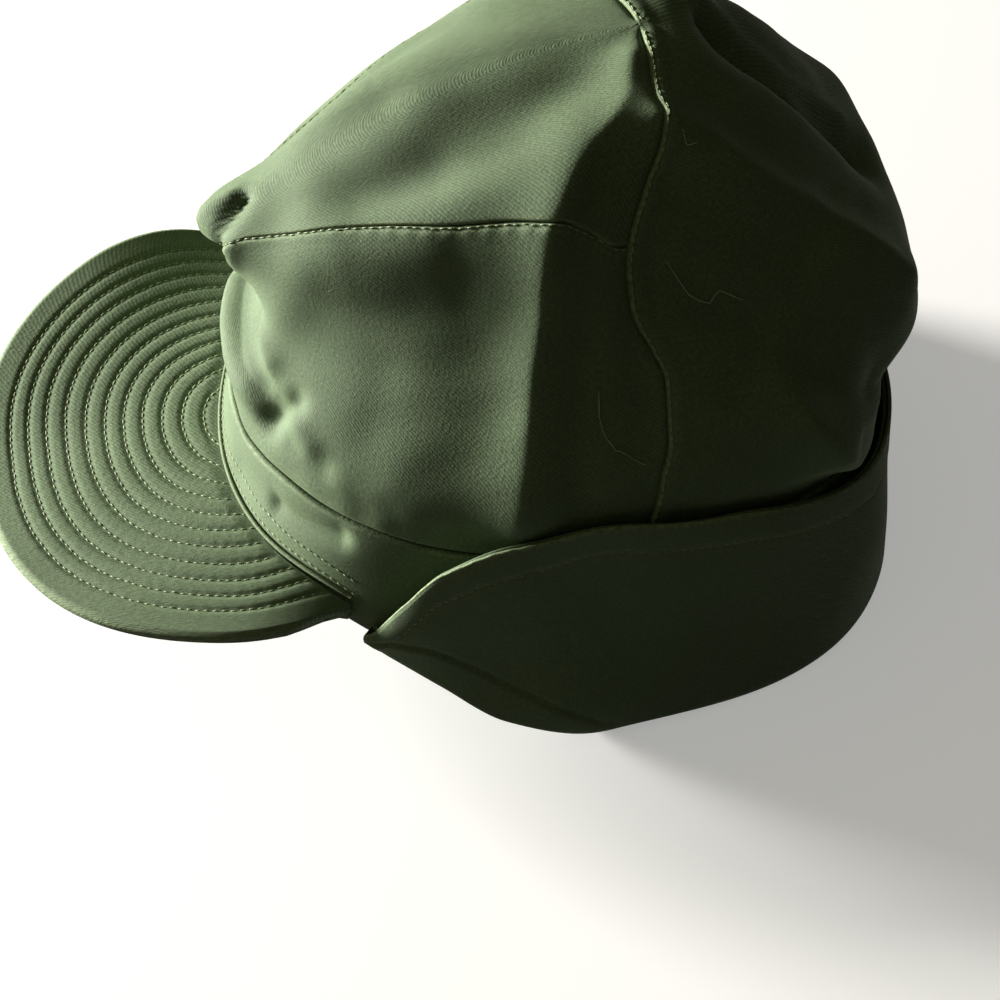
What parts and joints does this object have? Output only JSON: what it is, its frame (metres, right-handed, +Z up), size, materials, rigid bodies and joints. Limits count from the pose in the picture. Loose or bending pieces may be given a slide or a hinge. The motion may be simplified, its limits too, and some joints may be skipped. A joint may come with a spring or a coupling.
{
  "type": "field cap",
  "caption": "Soft cotton field cap with a head band, a panelled crown, a quilted visor and an ear flap turned up outside.",
  "frame": {"origin": "middle of the cap's box in plan, on the surface that the rim stands on", "axes": "+Z up, the visor points to -Y, the cap's left side is +X"},
  "size_m": [0.196, 0.2584, 0.163],
  "materials": {
    "crown_cloth": "olive green cotton sateen, soft sheen",
    "flap_cloth": "olive green cotton sateen, two layers",
    "visor_cloth": "olive green cotton sateen, quilted in rows",
    "sewing_thread": "matt cotton thread"
  },
  "bodies": {
    "root": {"head_band": "crown_cloth", "crown_front": "crown_cloth", "crown_top": "crown_cloth", "crown_back": "crown_cloth", "ear_flap": "flap_cloth", "visor": "visor_cloth", "visor_facing": "visor_cloth"}
  },
  "joints": []
}
